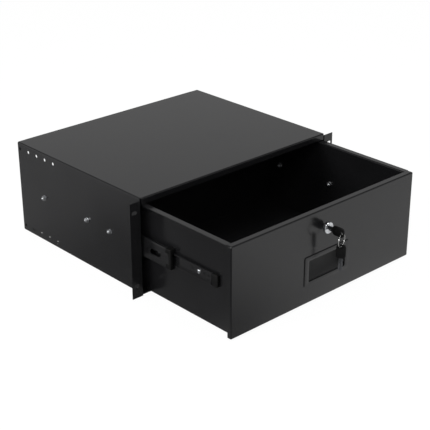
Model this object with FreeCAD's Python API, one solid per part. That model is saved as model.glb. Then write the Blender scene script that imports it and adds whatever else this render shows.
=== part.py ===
import FreeCAD, Part
import math
import os

V = FreeCAD.Vector

# Sliding rack drawer, four rack units high, shown pulled part way out of its case.
# Origin: centre of the four rack slots, on the front face of the ears.
# +X is to the right seen from the front, +Y runs into the rack, +Z is up.
# Drawer pieces are drawn closed and then moved out by drawer_out.

# Rack face
rack_panel_width = 482.6
slot_from_edge = 8.75
slot_pitch_z = 133.35
slot_length = 10.5
slot_width = 7.0
ear_width = 21.8
ear_below_centre = 88.5
ear_below_case_top = 3.5

# Sheet metal
sheet = 1.2
bend_inside = 1.0
relief = 0.8

# Case
case_depth = 354.0
case_height = 176.2
case_above_ear_foot = 0.8
bottom_flange = 13.2
rear_flange = 15.0
rear_lip = 12.0
rear_hole_radius = 3.0
rear_hole_pitch = 25.4
rear_hole_count = 5
rear_hole_from_back = 8.6
rear_hole_from_top = 12.0
rear_hole_from_bottom = 10.7
tie_width = 50.0
tie_setback = 2.0
tie_rail_width = 12.8
tie_rail_upstand = 16.0
tie_side_gap = 2.3

# Drawer
drawer_out = 210.0
front_side_gap = 2.2
lip_height = 11.6
front_top_gap = 1.3
front_bottom_gap = 0.8
front_return = 8.0
front_top_return = 11.0
tub_depth = 340.0
tub_front_flange_gap = 0.3
rear_wall_flange = 12.0

# Telescopic slides, measured inwards from the case wall and up from their centre line
slide_thickness = 12.7
slide_above_floor = 85.8
rail_length = 300.0
rail_setback = 48.0
rail_gauge = 1.2
rail_bend_inside = 0.4
case_rail_height = 45.7
case_rail_reach = 10.2
case_rail_lip = 2.6
web_gap = 1.0
middle_rail_reach = 9.2
middle_step_place = 5.15
middle_step = 2.9
middle_tongue_length = 7.0
middle_tongue_height = 18.4
drawer_rail_reach = 5.3
outer_ball_diameter = 4.0
inner_ball_diameter = 3.6
ball_clearance = 0.15
groove_depth = 0.4
outer_ball_inset = 2.9
inner_ball_inset = 3.1
cage_length = 100.0
cage_gauge = 0.6
cage_half_width = 2.6
cage_ball_count = 4
cage_end_margin = 8.0
case_screw_places = (36.0, 100.0, 228.0)
drawer_screw_places = (35.0, 131.0, 259.0)
spare_hole_places = (13.0, 22.5, 50.0, 205.0)
bumper_length = 12.0
bumper_play = 0.4
bumper_corner = 3.0
lever_place = 143.0
lever_length = 28.0
lever_width = 7.0
lever_thickness = 2.2
lever_pin_radius = 2.0
lever_pin_play = 0.06

# Slide screws and their locking nuts
screw_radius = 2.0
screw_hole_radius = 2.15
thread_play = 0.03
screw_head_radius = 4.0
case_screw_head = 0.8
drawer_screw_head = 2.2
nut_across_flats = 7.0
nut_height = 3.2
nut_washer_radius = 4.7
nut_washer = 1.0
screw_tip = 2.5

# Recessed pull
pull_width = 107.0
pull_height = 54.5
pull_thickness = 1.6
pull_corner = 4.0
pull_border_x = 9.5
pull_border_z = 8.0
pull_below_top = 73.7
pull_depth = 14.0
pull_lower_step = 3.0
pull_wall = 1.6
pull_play = 0.3
pull_boss_radius = 3.25
pull_screw_radius = 1.5
pull_screw_head_radius = 3.0
pull_screw_head = 2.0
pull_screw_grip = 6.5

# Cam lock
lock_below_top = 36.2
bezel_radius = 10.0
bezel_height = 3.2
barrel_radius = 8.0
barrel_length = 16.4
barrel_hole_play = 0.2
plug_radius = 5.5
plug_play = 0.05
plug_inset = 0.7
lock_nut_across_flats = 21.0
lock_nut_height = 3.0
cam_from_front = 17.2
cam_thickness = 2.0
cam_width = 12.0
cam_reach = 44.5
cam_square = 6.0
cam_square_play = 0.05
cam_gap = 0.6
cam_bolt_head = 2.4
cam_bolt_grip = 4.8
strike_width = 44.0
strike_flange = 14.0

# Keys
key_gap = 10.5
key_head_length = 24.0
key_head_height = 16.0
key_head_thickness = 3.0
key_blade_thickness = 2.0
key_blade_height = 7.8
key_blade_length = 23.0
key_tang_length = 7.0
key_tang_height = 6.0
key_hole_radius = 2.6
key_hole_from_end = 4.6
key_cut_count = 4
key_cut_depth = 1.6
keyway_play = 0.2
ring_radius = 11.0
ring_wire_radius = 0.7
ring_play = 0.35
ring_turn = 15.0
spare_key_turn = 35.0

# Levels and faces worked out from the sizes above
ear_z0 = -ear_below_centre
case_z0 = ear_z0 + case_above_ear_foot
case_z1 = case_z0 + case_height
ear_z1 = case_z1 - ear_below_case_top
slot_pitch_x = rack_panel_width - 2 * slot_from_edge
case_width = rack_panel_width - 2 * ear_width
case_half = case_width / 2
wall_in = case_half - sheet
bend_out = bend_inside + sheet
shell_front = bend_out
shell_back = case_depth - bend_out
tie_z0 = case_z0 + sheet
tie_z1 = tie_z0 + sheet
drawer_z0 = tie_z1 + front_bottom_gap
lip_z0 = case_z1 - lip_height
drawer_z1 = lip_z0 - front_top_gap
front_half = wall_in - front_side_gap
tub_half = wall_in - slide_thickness
tub_in = tub_half - sheet
rim_z0 = drawer_z1 - sheet
inner_front = front_return + sheet
slide_z = drawer_z0 + slide_above_floor
rail_end = rail_setback + rail_length
middle_out = drawer_out / 2
outer_cage_out = drawer_out / 4
inner_cage_out = drawer_out * 3 / 4
case_rail_half = case_rail_height / 2
outer_race_gap = outer_ball_diameter + 2 * ball_clearance - 2 * groove_depth
inner_race_gap = inner_ball_diameter + 2 * ball_clearance - 2 * groove_depth
middle_half = case_rail_half - rail_gauge - outer_race_gap
drawer_rail_half = middle_half - middle_step - rail_gauge - inner_race_gap
outer_ball_level = middle_half + outer_race_gap / 2
inner_ball_level = drawer_rail_half + inner_race_gap / 2
middle_web = rail_gauge + web_gap
middle_web_end = middle_web + rail_gauge
drawer_leg = slide_thickness - drawer_rail_reach
drawer_web = slide_thickness - rail_gauge
outer_ball_inward = middle_web + outer_ball_inset
inner_ball_inward = slide_thickness - inner_ball_inset
nut_stack = nut_washer + nut_height
lock_z = drawer_z1 - lock_below_top
pull_z1 = drawer_z1 - pull_below_top
pull_z0 = pull_z1 - pull_height
pocket_z0 = pull_z0 + pull_border_z
pocket_z1 = pull_z1 - pull_border_z
pocket_half = pull_width / 2 - pull_border_x
pull_mid_z = (pull_z0 + pull_z1) / 2
pull_boss_x = (pull_width / 2 + pocket_half + pull_wall) / 2
cam_back = cam_from_front + cam_thickness
key_head_front = -key_gap - key_head_length
key_hole_y = key_head_front + key_hole_from_end
ring_drop = key_hole_radius - ring_wire_radius - ring_play


def block(x0, x1, y0, y1, z0, z1):
    return Part.makeBox(x1 - x0, y1 - y0, z1 - z0, V(x0, y0, z0))


def rod_y(radius, x, z, y0, y1):
    return Part.makeCylinder(radius, y1 - y0, V(x, y0, z), V(0, 1, 0))


def rod_x(radius, y, z, x0, x1):
    low = min(x0, x1)
    return Part.makeCylinder(radius, abs(x1 - x0), V(low, y, z), V(1, 0, 0))


def edges_along(shape, direction):
    found = []
    for edge in shape.Edges:
        run = edge.Vertexes[-1].Point.sub(edge.Vertexes[0].Point)
        if run.Length > 1e-6 and abs(run.dot(direction)) > 0.999 * run.Length:
            found.append(edge)
    return found


def rounded_block(x0, x1, y0, y1, z0, z1, radius, direction):
    body = block(x0, x1, y0, y1, z0, z1)
    return body.makeFillet(radius, edges_along(body, direction))


def hexagon_prism(across_flats, height, base, direction):
    corner = across_flats / math.sqrt(3)
    points = []
    for k in range(7):
        turn = math.radians(60 * k)
        points.append(V(corner * math.cos(turn), corner * math.sin(turn), 0))
    prism = Part.Face(Part.makePolygon(points)).extrude(V(0, 0, height))
    prism.Placement = FreeCAD.Placement(base, FreeCAD.Rotation(V(0, 0, 1), direction))
    return prism


# Outline of a bent sheet seen on edge: points are its middle line, and each corner between
# them is a bend. side is +1 or -1 for the two faces of the sheet.
def sheet_side(points, bend, half, side):
    pieces = []
    here = None
    for i in range(1, len(points)):
        ax, ay = points[i - 1]
        bx, by = points[i]
        length = math.hypot(bx - ax, by - ay)
        dx, dy = (bx - ax) / length, (by - ay) / length
        nx, ny = -dy * half * side, dx * half * side
        if here is None:
            here = (ax + nx, ay + ny)
        if i == len(points) - 1:
            pieces.append(("line", here, (bx + nx, by + ny)))
            break
        cx, cy = points[i + 1]
        after = math.hypot(cx - bx, cy - by)
        ex, ey = (cx - bx) / after, (cy - by) / after
        turn = math.atan2(dx * ey - dy * ex, dx * ex + dy * ey)
        back = bend * math.tan(abs(turn) / 2)
        hand = math.copysign(1.0, turn)
        radius = bend - hand * side * half
        centre = (bx - dx * back - dy * hand * bend, by - dy * back + dx * hand * bend)
        start = (bx - dx * back + nx, by - dy * back + ny)
        end = (bx + ex * back - ey * half * side, by + ey * back + ex * half * side)
        mid = (start[0] + end[0]) / 2 - centre[0], (start[1] + end[1]) / 2 - centre[1]
        reach = radius / math.hypot(mid[0], mid[1])
        middle = (centre[0] + mid[0] * reach, centre[1] + mid[1] * reach)
        pieces.append(("line", here, start))
        pieces.append(("arc", start, middle, end))
        here = end
    return pieces


def bent_sheet(points, place, run, gauge=sheet, inside=bend_inside):
    bend = inside + gauge / 2
    outline = []
    near = sheet_side(points, bend, gauge / 2, 1)
    far = sheet_side(points, bend, gauge / 2, -1)
    edges = []
    for piece in near + far:
        ends = [place(a, b) for a, b in piece[1:]]
        if ends[0].distanceToPoint(ends[-1]) < 1e-6:
            continue
        if piece[0] == "line":
            edges.append(Part.LineSegment(ends[0], ends[1]).toShape())
        else:
            edges.append(Part.Arc(ends[0], ends[1], ends[2]).toShape())
    edges.append(Part.LineSegment(place(*near[0][1]), place(*far[0][1])).toShape())
    edges.append(Part.LineSegment(place(*near[-1][-1]), place(*far[-1][-1])).toShape())
    wire = Part.Wire(Part.__sortEdges__(edges))
    return Part.Face(wire).extrude(run)


def along_y(points, y0, y1):
    return bent_sheet(points, lambda a, b: V(a, y0, b), V(0, y1 - y0, 0))


def along_z(points, z0, z1):
    return bent_sheet(points, lambda a, b: V(a, b, z0), V(0, 0, z1 - z0))


def along_x(points, x0, x1):
    return bent_sheet(points, lambda a, b: V(x0, a, b), V(x1 - x0, 0, 0))


def joined(shapes):
    return shapes[0].fuse(shapes[1:]).removeSplitter()


def drilled(body, tools):
    return body.cut(tools)


def moved_out(shape, distance):
    moved = shape.copy()
    moved.translate(V(0, -distance, 0))
    return moved


# Case

def rack_slot(x, z):
    run = (slot_length - slot_width) / 2
    radius = slot_width / 2
    middle = block(x - run, x + run, -sheet, 2 * sheet, z - radius, z + radius)
    left_end = rod_y(radius, x - run, z, -sheet, 2 * sheet)
    right_end = rod_y(radius, x + run, z, -sheet, 2 * sheet)
    return joined([middle, left_end, right_end])


def rear_hole_places():
    return [case_depth - rear_hole_from_back - k * rear_hole_pitch for k in range(rear_hole_count)]


def case_shell():
    mid = case_half - sheet / 2
    low = case_z0 + sheet / 2
    high = case_z1 - sheet / 2
    wall_z0 = case_z0 + bend_out
    wall_z1 = case_z1 - bend_out
    hoop = [(-case_half + bottom_flange, low), (-mid, low), (-mid, high),
            (mid, high), (mid, low), (case_half - bottom_flange, low)]
    parts = [along_y(hoop, shell_front, shell_back)]
    for side in (-1, 1):
        ear = [(side * mid, shell_front), (side * mid, sheet / 2),
               (side * rack_panel_width / 2, sheet / 2)]
        parts.append(along_z(ear, wall_z0, ear_z1))
        foot = sorted([side * case_half, side * rack_panel_width / 2])
        parts.append(block(foot[0], foot[1], 0, sheet, ear_z0, wall_z0 - relief))
        edge = sorted([side * (case_half + bend_inside), side * rack_panel_width / 2])
        parts.append(block(edge[0], edge[1], 0, sheet, ear_z0, ear_z1))
        back = [(side * mid, shell_back), (side * mid, case_depth - sheet / 2),
                (side * (case_half - rear_flange), case_depth - sheet / 2)]
        parts.append(along_z(back, wall_z0, wall_z1))
    lip_half = case_half - bend_out - relief
    lip = [(shell_front, high), (sheet / 2, high), (sheet / 2, lip_z0)]
    parts.append(along_x(lip, -lip_half, lip_half))
    back_half = case_half - rear_flange - relief
    back_lip = [(shell_back, high), (case_depth - sheet / 2, high),
                (case_depth - sheet / 2, case_z1 - rear_lip)]
    parts.append(along_x(back_lip, -back_half, back_half))
    shell = joined(parts)
    tools = []
    for side in (-1, 1):
        for level in (-1, 1):
            tools.append(rack_slot(side * slot_pitch_x / 2, level * slot_pitch_z / 2))
        x0 = side * (wall_in - sheet)
        x1 = side * (case_half + sheet)
        for y in rear_hole_places():
            for z in (case_z1 - rear_hole_from_top, case_z0 + rear_hole_from_bottom):
                tools.append(rod_x(rear_hole_radius, y, z, x0, x1))
        for place in case_screw_places:
            tools.append(rod_x(screw_hole_radius, rail_setback + place, slide_z, x0, x1))
    return drilled(shell, tools)


def front_bottom_tie():
    half = wall_in - tie_side_gap
    inner = case_half - bottom_flange - bend_inside
    plate = block(-half, half, tie_setback, tie_setback + tie_width, tie_z0, tie_z1)
    front_edge = block(-inner, inner, tie_setback, tie_setback + sheet, case_z0, tie_z0)
    back_y = tie_setback + tie_width
    back_edge = block(-inner, inner, back_y - sheet, back_y, case_z0, tie_z0)
    return joined([plate, front_edge, back_edge])


def rear_bottom_tie():
    half = wall_in - tie_side_gap
    level = tie_z0 + sheet / 2
    back = case_depth - sheet
    angle = [(back - tie_rail_width, level), (back - sheet / 2, level),
             (back - sheet / 2, tie_z0 + tie_rail_upstand)]
    return along_x(angle, -half, half)


def lock_strike():
    half = strike_width / 2
    face = cam_from_front - cam_gap - sheet / 2
    level = case_z1 - sheet * 3 / 2
    hook = [(face, lip_z0 + relief), (face, level), (face + strike_flange, level)]
    return along_x(hook, -half, half)


# Drawer box, drawn closed with its front face at y = 0

def window(play, y0, y1):
    grown = pull_wall + play
    return rounded_block(-pocket_half - grown, pocket_half + grown, y0, y1,
                         pocket_z0 - grown, pocket_z1 + grown, pull_corner, V(0, 1, 0))


def drawer_tub():
    mid = tub_half - sheet / 2
    low = drawer_z0 + sheet / 2
    high = drawer_z1 - sheet / 2
    back = tub_depth
    folded = [(-front_half, high), (-mid, high), (-mid, low),
              (mid, low), (mid, high), (front_half, high)]
    parts = [along_y(folded, front_top_return, back)]
    front_run = front_return + bend_out
    plain = [(-mid, rim_z0), (-mid, low), (mid, low), (mid, rim_z0)]
    parts.append(along_y(plain, front_run, front_top_return + sheet))
    wall = [(front_run, low), (front_return + sheet / 2, low), (front_return + sheet / 2, rim_z0)]
    parts.append(along_x(wall, -tub_in, tub_in))
    for side in (-1, 1):
        outer = side * (front_half - sheet - tub_front_flange_gap)
        turned = [(side * mid, front_run), (side * mid, front_return + sheet / 2),
                  (outer, front_return + sheet / 2)]
        parts.append(along_z(turned, drawer_z0 + bend_out, rim_z0 - tub_front_flange_gap))
    tub = joined(parts)
    skin = (front_return - sheet, front_return + 2 * sheet)
    tools = [rod_y(barrel_radius + barrel_hole_play, 0, lock_z, *skin), window(pull_play, *skin)]
    for side in (-1, 1):
        tools.append(rod_y(pull_screw_radius + barrel_hole_play, side * pull_boss_x, pull_mid_z, *skin))
        for place in drawer_screw_places:
            x0 = side * (tub_in - sheet)
            x1 = side * (tub_half + sheet)
            tools.append(rod_x(screw_hole_radius, rail_setback + place, slide_z, x0, x1))
    return drilled(tub, tools)


def drawer_rear_wall():
    mid = tub_in - sheet / 2
    back = tub_depth - sheet / 2
    front = tub_depth - rear_wall_flange
    inner = tub_in - bend_out
    floor_level = drawer_z0 + sheet * 3 / 2
    top_level = rim_z0 + sheet / 2
    sides = [(-mid, front), (-mid, back), (mid, back), (mid, front)]
    wall = along_z(sides, drawer_z0 + sheet + bend_out, rim_z0 - bend_inside)
    ledge = [(front, floor_level), (back, floor_level), (back, top_level), (front, top_level)]
    return joined([wall, along_x(ledge, -inner, inner)])


def drawer_front_panel():
    outer = block(-front_half, front_half, 0, front_top_return, drawer_z0, drawer_z1)
    inner = block(-front_half + sheet, front_half - sheet, sheet, front_top_return + sheet,
                  drawer_z0 + sheet, drawer_z1 - sheet)
    outer = outer.makeFillet(bend_out, front_edges(outer, 0))
    inner = inner.makeFillet(bend_inside, front_edges(inner, sheet))
    pan = outer.cut(inner)
    trim = block(-front_half - sheet, front_half + sheet, front_return, front_top_return + sheet,
                 drawer_z0 - sheet, rim_z0)
    skin = (-sheet, 2 * sheet)
    tools = [trim, rod_y(barrel_radius + barrel_hole_play, 0, lock_z, *skin), window(pull_play, *skin)]
    for side in (-1, 1):
        tools.append(rod_y(pull_boss_radius + pull_play, side * pull_boss_x, pull_mid_z, *skin))
    return drilled(pan, tools)


# The four edges round the face at this depth and the four that run back from it
def front_edges(body, depth):
    found = edges_along(body, V(0, 1, 0))
    for edge in body.Edges:
        if all(abs(corner.Point.y - depth) < 1e-6 for corner in edge.Vertexes):
            found.append(edge)
    return found


# Side outline of the pull's scoop: a step up from the lower lip, a curved back, a flat roof
def scoop(front, step, depth, z_low, z_bend, z_high, half):
    drop = depth - step
    rise = z_bend - z_low
    radius = (drop * drop + rise * rise) / (2 * drop)
    swing = math.asin(rise / radius) / 2
    middle = V(-half, depth - radius + radius * math.cos(swing), z_bend - radius * math.sin(swing))
    corners = [V(-half, step, z_low), V(-half, depth, z_bend), V(-half, depth, z_high),
               V(-half, front, z_high), V(-half, front, z_low)]
    edges = [Part.Arc(corners[0], middle, corners[1]).toShape()]
    for k in range(1, 5):
        edges.append(Part.LineSegment(corners[k], corners[(k + 1) % 5]).toShape())
    return Part.Face(Part.Wire(edges)).extrude(V(2 * half, 0, 0))


def pull():
    half = pull_width / 2
    face = -pull_thickness
    flange = rounded_block(-half, half, face, 0, pull_z0, pull_z1, pull_corner, V(0, 1, 0))
    rim = [edge for edge in flange.Edges if all(abs(c.Point.y - face) < 1e-6 for c in edge.Vertexes)]
    flange = flange.makeChamfer(pull_thickness / 2, rim)
    bend_z = pocket_z0 + (pocket_z1 - pocket_z0) * 2 / 3
    cup = scoop(0, pull_lower_step, pull_depth + pull_wall, pocket_z0 - pull_wall, bend_z,
                pocket_z1 + pull_wall, pocket_half + pull_wall)
    cup = cup.common(window(0, -pull_wall, pull_depth + 2 * pull_wall))
    hollow = scoop(2 * face, pull_lower_step, pull_depth, pocket_z0, bend_z, pocket_z1, pocket_half)
    corner = rounded_block(-pocket_half, pocket_half, 2 * face, pull_depth + pull_wall,
                           pocket_z0, pocket_z1, pull_corner - pull_wall, V(0, 1, 0))
    parts = [flange, cup]
    tools = [hollow.common(corner)]
    for side in (-1, 1):
        x = side * pull_boss_x
        parts.append(rod_y(pull_boss_radius, x, pull_mid_z, 0, front_return))
        bore = pull_screw_radius + thread_play
        tools.append(rod_y(bore, x, pull_mid_z, inner_front - pull_screw_grip - relief, inner_front))
    return joined(parts).cut(tools)


def pull_screws():
    screws = []
    for side in (-1, 1):
        x = side * pull_boss_x
        shank = rod_y(pull_screw_radius, x, pull_mid_z, inner_front - pull_screw_grip, inner_front)
        head = rod_y(pull_screw_head_radius, x, pull_mid_z, inner_front, inner_front + pull_screw_head)
        crown = [edge for edge in head.Edges if edge.BoundBox.YMin > inner_front + pull_screw_head / 2]
        screws.append(joined([head.makeFillet(pull_screw_head / 3, crown), shank]))
    return Part.makeCompound(screws)


# Cam lock, drawn about the axis x = 0, z = lock_z

def lock_barrel():
    bezel = rod_y(bezel_radius, 0, lock_z, -bezel_height, 0)
    rim = [edge for edge in bezel.Edges if edge.BoundBox.YMax < -bezel_height / 2]
    bezel = bezel.makeFillet(bezel_height / 2, rim)
    body = rod_y(barrel_radius, 0, lock_z, 0, barrel_length)
    bore = rod_y(plug_radius + plug_play, 0, lock_z, -2 * bezel_height, 2 * barrel_length)
    return joined([bezel, body]).cut(bore)


def lock_nut():
    base = V(0, inner_front, lock_z)
    nut = hexagon_prism(lock_nut_across_flats, lock_nut_height, base, V(0, 1, 0))
    return nut.cut(rod_y(barrel_radius + thread_play, 0, lock_z, 0, 2 * barrel_length))


def lock_plug():
    front = -bezel_height + plug_inset
    half = cam_square / 2
    shoulder = cam_from_front - relief / 2
    plug = rod_y(plug_radius, 0, lock_z, front, shoulder)
    tail = block(-half, half, shoulder, cam_back, lock_z - half, lock_z + half)
    keyway_x = key_blade_thickness / 2 + keyway_play
    keyway_z = key_blade_height / 2 + 2 * keyway_play
    tip = key_blade_length - key_gap + 2 * keyway_play
    keyway = block(-keyway_x, keyway_x, 2 * front, tip, lock_z - keyway_z, lock_z + keyway_z)
    bolt = rod_y(screw_radius + thread_play, 0, lock_z, cam_back - cam_bolt_grip, 2 * cam_back)
    return joined([plug, tail]).cut([keyway, bolt])


# At rest the cam lies level, unlocked; a quarter turn stands it up behind the strike
def lock_cam():
    half = cam_width / 2
    hub = rod_y(half, 0, lock_z, cam_from_front, cam_back)
    arm = block(0, cam_reach - half, cam_from_front, cam_back, lock_z - half, lock_z + half)
    tip = rod_y(half, cam_reach - half, lock_z, cam_from_front, cam_back)
    side = cam_square / 2 + cam_square_play
    square = block(-side, side, 0, 2 * cam_back, lock_z - side, lock_z + side)
    return joined([hub, arm, tip]).cut(square)


def cam_bolt():
    base = V(0, cam_back, lock_z)
    head = hexagon_prism(nut_across_flats + sheet, cam_bolt_head, base, V(0, 1, 0))
    shank = rod_y(screw_radius, 0, lock_z, cam_back - cam_bolt_grip + relief / 2, cam_back)
    return joined([head, shank])


# Keys: the blade's tip points to +Y and the head to -Y, about the axis x = 0, z = 0

def key_head():
    half_x = key_head_thickness / 2
    half_z = key_head_height / 2
    back = -key_gap
    head = rounded_block(-half_x, half_x, key_head_front, back, -half_z, half_z,
                         half_z * 2 / 3, V(1, 0, 0))
    hole = rod_x(key_hole_radius, key_hole_y, 0, -2 * half_x, 2 * half_x)
    tang_x = key_blade_thickness / 2
    tang_z = key_tang_height / 2
    pocket = block(-tang_x, tang_x, back - key_tang_length, back, -tang_z, tang_z)
    return head.cut([hole, pocket])


def key_blade():
    half_x = key_blade_thickness / 2
    half_z = key_blade_height / 2
    tang_z = key_tang_height / 2
    tip = key_blade_length - key_gap
    bevel = half_z * 2 / 3
    outline = [(-key_gap, -half_z), (tip - bevel, -half_z), (tip, -half_z + bevel),
               (tip, half_z - bevel), (tip - bevel, half_z), (-key_gap, half_z)]
    points = [V(-half_x, a, b) for a, b in outline + outline[:1]]
    blade = Part.Face(Part.makePolygon(points)).extrude(V(2 * half_x, 0, 0))
    tang = block(-half_x, half_x, -key_gap - key_tang_length, -key_gap, -tang_z, tang_z)
    cuts = []
    pitch = (key_blade_length - 3 * bevel) / key_cut_count
    for k in range(key_cut_count):
        y = tip - bevel - (k + 0.5) * pitch
        depth = key_cut_depth * (0.6 + 0.4 * (k % 2))
        notch = [V(-half_x, y - pitch / 2, -half_z), V(-half_x, y, -half_z + depth),
                 V(-half_x, y + pitch / 2, -half_z), V(-half_x, y - pitch / 2, -half_z)]
        cuts.append(Part.Face(Part.makePolygon(notch)).extrude(V(2 * half_x, 0, 0)))
    return joined([blade, tang]).cut(cuts)


def in_lock(shape):
    placed = shape.copy()
    placed.translate(V(0, 0, lock_z))
    return placed


ring_top_z = lock_z - ring_drop
ring_foot_z = ring_top_z - 2 * ring_radius
spare_hole_z = ring_foot_z - ring_drop


def key_ring():
    turn = math.radians(ring_turn)
    centre = V(0, key_hole_y, ring_top_z - ring_radius)
    return Part.makeTorus(ring_radius, ring_wire_radius, centre, V(-math.sin(turn), math.cos(turn), 0))


# The spare key hangs tip down from the foot of the ring, turned about the vertical
def hung(shape):
    placed = shape.copy()
    placed.translate(V(0, -key_hole_y, 0))
    placed.rotate(V(0, 0, 0), V(1, 0, 0), -90)
    placed.rotate(V(0, 0, 0), V(0, 0, 1), spare_key_turn)
    placed.translate(V(0, key_hole_y, spare_hole_z))
    return placed


# Slides: u is measured inwards from the case wall, v up from the slide's centre line

def slide_sheet(points, side, y0, y1):
    def place(u, v):
        return V(side * (wall_in - u), y0, slide_z + v)
    return bent_sheet(points, place, V(0, y1 - y0, 0), rail_gauge, rail_bend_inside)


def slide_block(side, u0, u1, y0, y1, v0, v1):
    xs = sorted([side * (wall_in - u0), side * (wall_in - u1)])
    return block(xs[0], xs[1], y0, y1, slide_z + v0, slide_z + v1)


def slide_rod(side, radius, u, v, y0, y1):
    return rod_y(radius, side * (wall_in - u), slide_z + v, y0, y1)


def cross_rod(side, radius, y, v, u0, u1):
    return rod_x(radius, y, slide_z + v, side * (wall_in - u0), side * (wall_in - u1))


def grooves(side, ball_diameter, u, level):
    radius = ball_diameter / 2 + ball_clearance
    return [slide_rod(side, radius, u, hand * level, 0, 2 * rail_end) for hand in (-1, 1)]


def outer_grooves(side):
    return grooves(side, outer_ball_diameter, outer_ball_inward, outer_ball_level)


def inner_grooves(side):
    return grooves(side, inner_ball_diameter, inner_ball_inward, inner_ball_level)


def case_rail(side):
    leg = case_rail_half - rail_gauge / 2
    edge = case_rail_reach - rail_gauge / 2
    lip = case_rail_half - case_rail_lip
    web = rail_gauge / 2
    line = [(edge, lip), (edge, leg), (web, leg), (web, -leg), (edge, -leg), (edge, -lip)]
    rail = slide_sheet(line, side, rail_setback, rail_end)
    tools = outer_grooves(side)
    for place in case_screw_places:
        tools.append(cross_rod(side, screw_hole_radius, rail_setback + place, 0, -sheet, middle_web))
    return rail.cut(tools)


def middle_rail(side):
    leg = middle_half - rail_gauge / 2
    web = middle_web + rail_gauge / 2
    edge = middle_web + middle_rail_reach
    step = middle_web + middle_step_place
    low = leg - middle_step
    line = [(edge, low), (step, low), (step, leg), (web, leg),
            (web, -leg), (step, -leg), (step, -low), (edge, -low)]
    rail = slide_sheet(line, side, rail_setback, rail_end)
    rail = rail.cut(outer_grooves(side) + inner_grooves(side))
    tongue_half = middle_tongue_height / 2
    tongue = slide_block(side, middle_web, middle_web_end, rail_setback - middle_tongue_length,
                         rail_setback + sheet, -tongue_half, tongue_half)
    return moved_out(joined([rail, tongue]), middle_out)


def lever_pin(side):
    y = rail_setback + lever_place
    foot = drawer_web - lever_thickness - 2 * lever_pin_play
    pin = cross_rod(side, lever_pin_radius, y, 0, foot, drawer_web)
    cap = cross_rod(side, lever_pin_radius * 3 / 2, y, 0, foot - cage_gauge, foot)
    return [pin, cap]


def drawer_rail(side):
    leg = drawer_rail_half - rail_gauge / 2
    web = drawer_web + rail_gauge / 2
    line = [(drawer_leg, leg), (web, leg), (web, -leg), (drawer_leg, -leg)]
    rail = slide_sheet(line, side, rail_setback, rail_end)
    tools = inner_grooves(side)
    for place in drawer_screw_places + spare_hole_places:
        y = rail_setback + place
        tools.append(cross_rod(side, screw_hole_radius, y, 0, drawer_web - sheet, slide_thickness + sheet))
    return joined([rail.cut(tools)] + lever_pin(side))


def ball_places():
    first = rail_setback + (rail_length - cage_length) / 2 + cage_end_margin
    pitch = (cage_length - 2 * cage_end_margin) / (cage_ball_count - 1)
    return [first + k * pitch for k in range(cage_ball_count)]


def ball_row(side, diameter, u, level):
    balls = []
    for y in ball_places():
        for hand in (-1, 1):
            centre = V(side * (wall_in - u), y, slide_z + hand * level)
            balls.append(Part.makeSphere(diameter / 2, centre))
    return Part.makeCompound(balls)


def ball_cage(side, diameter, u, level):
    start = rail_setback + (rail_length - cage_length) / 2
    pocket = diameter / 2 + ball_clearance
    strips = []
    for hand in (-1, 1):
        v0 = hand * level - cage_gauge / 2
        v1 = hand * level + cage_gauge / 2
        strip = slide_block(side, u - cage_half_width, u + cage_half_width, start, start + cage_length, v0, v1)
        holes = []
        for y in ball_places():
            foot = V(side * (wall_in - u), y, slide_z + v0 - cage_gauge)
            holes.append(Part.makeCylinder(pocket, 3 * cage_gauge, foot))
        strips.append(strip.cut(holes))
    return Part.makeCompound(strips)


def outer_balls(side):
    row = ball_row(side, outer_ball_diameter, outer_ball_inward, outer_ball_level)
    return moved_out(row, outer_cage_out)


def outer_ball_cage(side):
    cage = ball_cage(side, outer_ball_diameter, outer_ball_inward, outer_ball_level)
    return moved_out(cage, outer_cage_out)


def inner_balls(side):
    row = ball_row(side, inner_ball_diameter, inner_ball_inward, inner_ball_level)
    return moved_out(row, inner_cage_out)


def inner_ball_cage(side):
    cage = ball_cage(side, inner_ball_diameter, inner_ball_inward, inner_ball_level)
    return moved_out(cage, inner_cage_out)


# Plastic end stop on the middle rail: a bridge that the drawer rail passes through, with a seat
# for the rail's tongue in its outer side
def middle_bumper(side):
    y0 = rail_setback - bumper_length
    outer_v = middle_half - bumper_play
    inner_v = drawer_rail_half + bumper_play
    seat_v = middle_tongue_height / 2
    u1 = middle_web + middle_rail_reach
    body = slide_block(side, middle_web, u1, y0, rail_setback, -outer_v, outer_v)
    body = body.makeFillet(bumper_play * 3, edges_along(body, V(0, 1, 0)))
    channel = slide_block(side, drawer_leg - bumper_play, u1 + sheet, y0 - sheet, rail_end, -inner_v, inner_v)
    seat = slide_block(side, 0, middle_web_end, rail_setback - middle_tongue_length, rail_end, -seat_v, seat_v)
    return moved_out(body.cut([channel, seat]), middle_out)


# Plastic nose on the drawer rail, with a tongue lying in its channel
def drawer_rail_bumper(side):
    y0 = rail_setback - bumper_length
    half = drawer_rail_half
    nose = slide_block(side, drawer_leg, slide_thickness, y0, rail_setback, -half, half)
    corners = [edge for edge in edges_along(nose, V(1, 0, 0)) if edge.BoundBox.YMax < rail_setback]
    nose = nose.makeFillet(bumper_corner, corners)
    inner = half - rail_gauge - rail_bend_inside
    tongue = slide_block(side, drawer_web - rail_gauge, drawer_web, rail_setback - sheet,
                         rail_setback + bumper_length / 2, -inner, inner)
    return joined([nose, tongue])


# Disconnect lever: a flat arm on a pin in the drawer rail, with a finger pad at its far end
def release_lever(side):
    y = rail_setback + lever_place
    u1 = drawer_web - lever_pin_play
    u0 = u1 - lever_thickness
    half = lever_width / 2
    eye = cross_rod(side, half + lever_pin_play, y, 0, u0, u1)
    arm = slide_block(side, u0, u1, y, y + lever_length - half, -half * 2 / 3, half * 2 / 3)
    pad = cross_rod(side, half, y + lever_length - half, 0, u0, u1)
    bore = cross_rod(side, lever_pin_radius + lever_pin_play, y, 0, u0 - sheet, u1 + sheet)
    return joined([eye, arm, pad]).cut(bore)


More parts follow.
